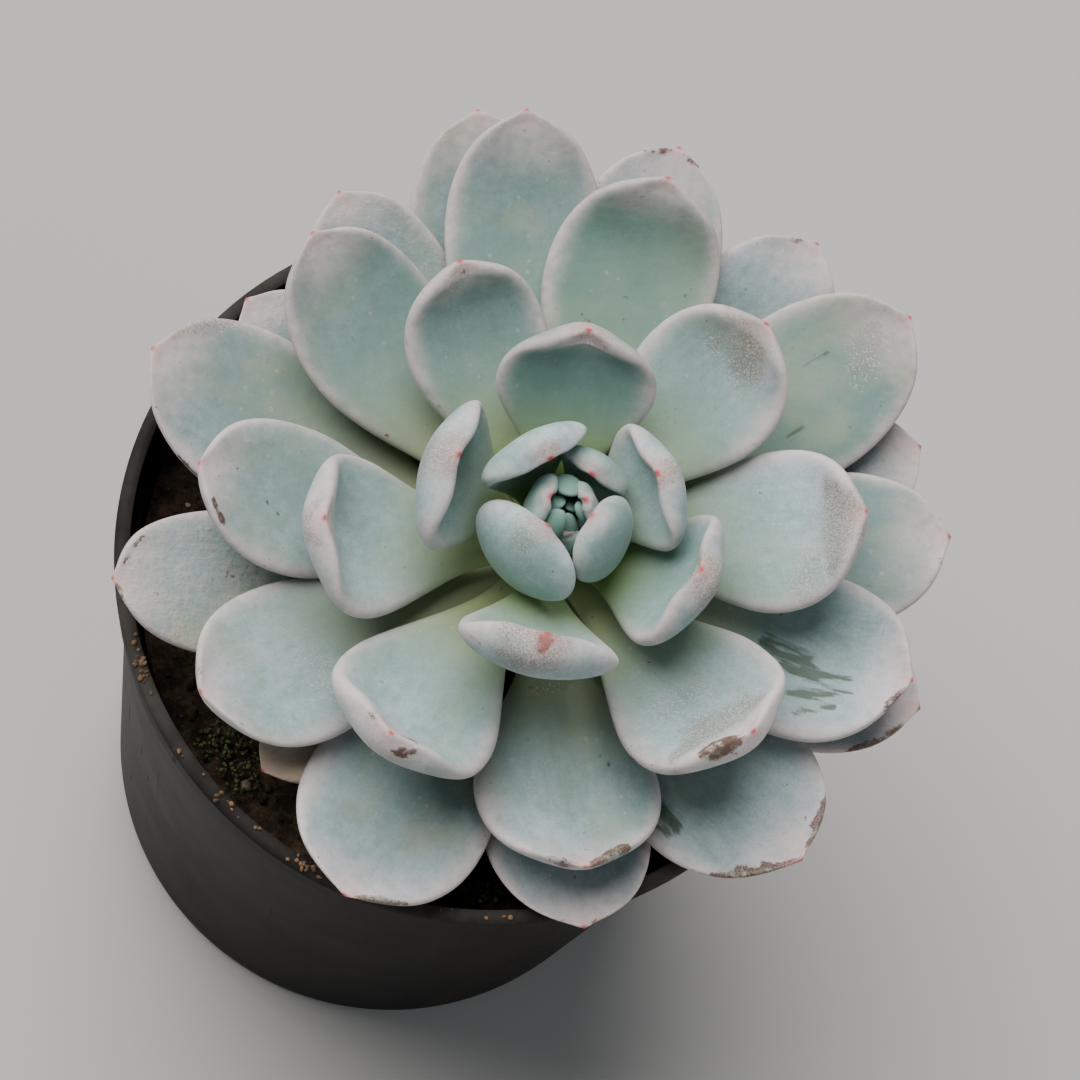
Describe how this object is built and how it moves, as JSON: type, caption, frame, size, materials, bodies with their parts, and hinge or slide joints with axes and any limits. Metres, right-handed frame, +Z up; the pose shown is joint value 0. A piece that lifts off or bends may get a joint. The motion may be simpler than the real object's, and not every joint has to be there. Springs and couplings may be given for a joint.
{
  "type": "potted succulent",
  "caption": "Rosette of thick, powdery, spoon-shaped succulent leaves on a short stem, rooted in soil in a round tapered plastic nursery pot.",
  "frame": {"origin": "centre of the pot's flat underside, where it stands", "axes": "+Z up along the pot's axis; +X to the right and +Y away as seen from the front above the plant"},
  "size_m": [0.1027, 0.1024, 0.1235],
  "materials": {
    "pot_plastic": "satin",
    "potting_soil": "matte",
    "stem_skin": "matte",
    "leaf_skin": "matte"
  },
  "bodies": {
    "root": {"pot": "pot_plastic", "soil": "potting_soil", "stem": "stem_skin", "leaf_lowest_01": "leaf_skin", "leaf_lowest_02": "leaf_skin", "leaf_lowest_03": "leaf_skin", "leaf_lowest_04": "leaf_skin", "leaf_lowest_05": "leaf_skin", "leaf_outer_01": "leaf_skin", "leaf_outer_02": "leaf_skin", "leaf_outer_03": "leaf_skin", "leaf_outer_04": "leaf_skin", "leaf_outer_05": "leaf_skin", "leaf_outer_06": "leaf_skin", "leaf_outer_07": "leaf_skin", "leaf_outer_08": "leaf_skin", "leaf_outer_09": "leaf_skin", "leaf_broad_01": "leaf_skin", "leaf_broad_02": "leaf_skin", "leaf_broad_03": "leaf_skin", "leaf_broad_04": "leaf_skin", "leaf_broad_05": "leaf_skin", "leaf_broad_06": "leaf_skin", "leaf_broad_07": "leaf_skin", "leaf_middle_01": "leaf_skin", "leaf_middle_02": "leaf_skin", "leaf_middle_03": "leaf_skin", "leaf_middle_04": "leaf_skin", "leaf_middle_05": "leaf_skin", "leaf_middle_06": "leaf_skin", "leaf_middle_07": "leaf_skin", "leaf_inner_01": "leaf_skin", "leaf_inner_02": "leaf_skin", "leaf_inner_03": "leaf_skin", "leaf_inner_04": "leaf_skin", "leaf_inner_05": "leaf_skin", "leaf_core_01": "leaf_skin", "leaf_core_02": "leaf_skin", "leaf_core_03": "leaf_skin", "leaf_core_04": "leaf_skin", "leaf_heart_01": "leaf_skin", "leaf_heart_02": "leaf_skin", "leaf_heart_03": "leaf_skin"}
  },
  "joints": []
}
